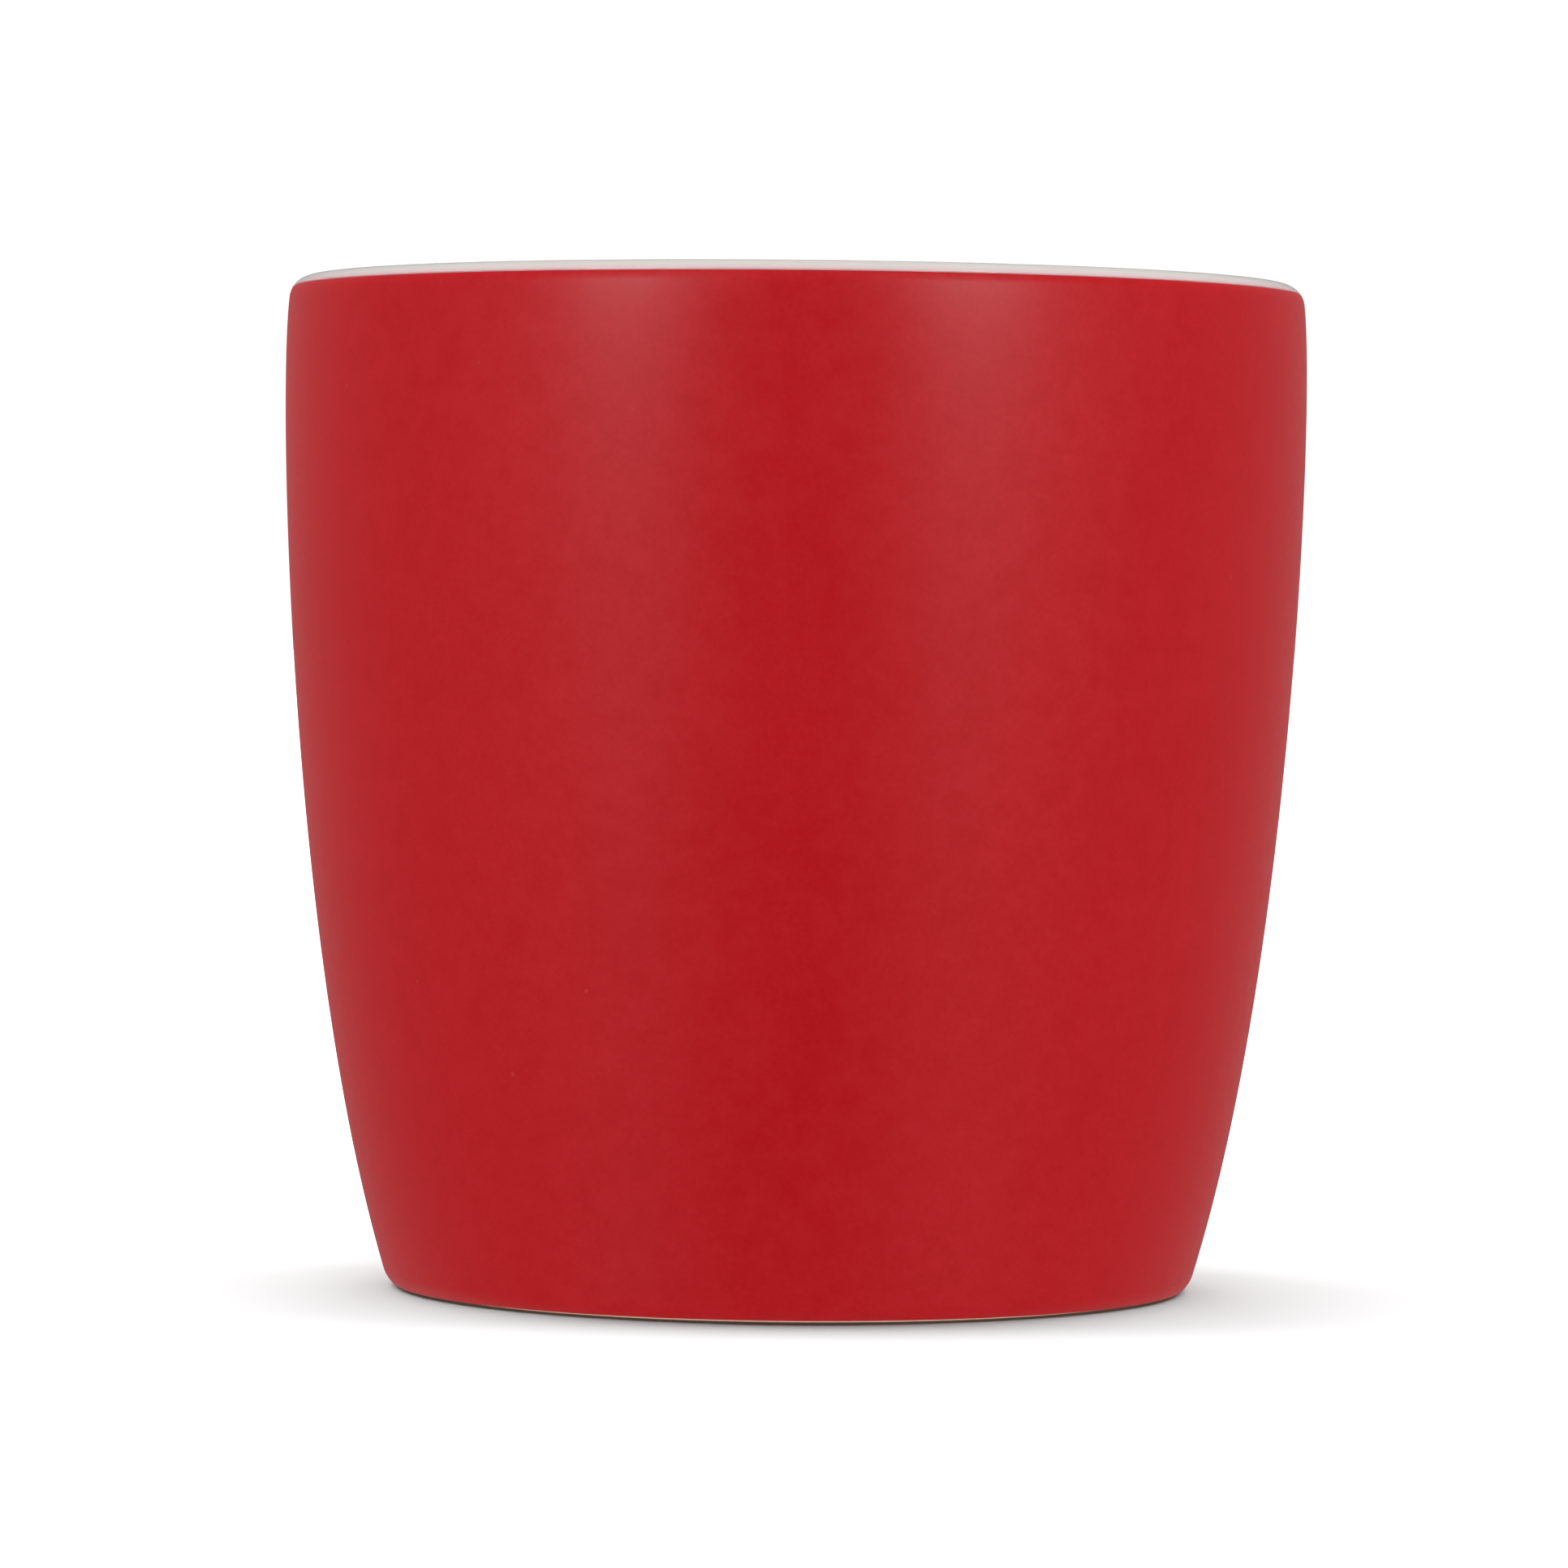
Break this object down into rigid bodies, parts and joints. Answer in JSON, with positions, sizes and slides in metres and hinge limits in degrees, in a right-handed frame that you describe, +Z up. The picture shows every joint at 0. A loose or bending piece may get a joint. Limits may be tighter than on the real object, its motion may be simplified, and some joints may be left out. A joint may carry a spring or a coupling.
{
  "type": "mug",
  "caption": "Barrel-shaped stoneware mug with a satin red outside, a glossy white lining over its lip, a bare clay foot ring and an ear handle.",
  "frame": {"origin": "middle of the underside of the box round cup and handle, on the plane that the foot ring stands on; the cup's own axis is 16.18 mm from it towards -Y", "axes": "+Z up through the open mouth; the cup's plain front faces -Y and the handle stands out along +Y; +X is to the right when the front is looked at"},
  "size_m": [0.09, 0.1224, 0.0889],
  "materials": {
    "fired_clay": "bare fired stoneware, matt, fine-grained and pale",
    "fired_slip": "fired slip, matt",
    "red_glaze": "satin red glaze with a soft sheen",
    "white_glaze": "glossy warm white glaze"
  },
  "bodies": {
    "root": {"stoneware_cup": "fired_clay", "handle_core": "fired_clay", "upper_slip_joint": "fired_slip", "lower_slip_joint": "fired_slip", "red_cup_glaze": "red_glaze", "red_handle_glaze": "red_glaze", "white_lining_glaze": "white_glaze", "foot_recess_glaze": "white_glaze"}
  },
  "joints": []
}
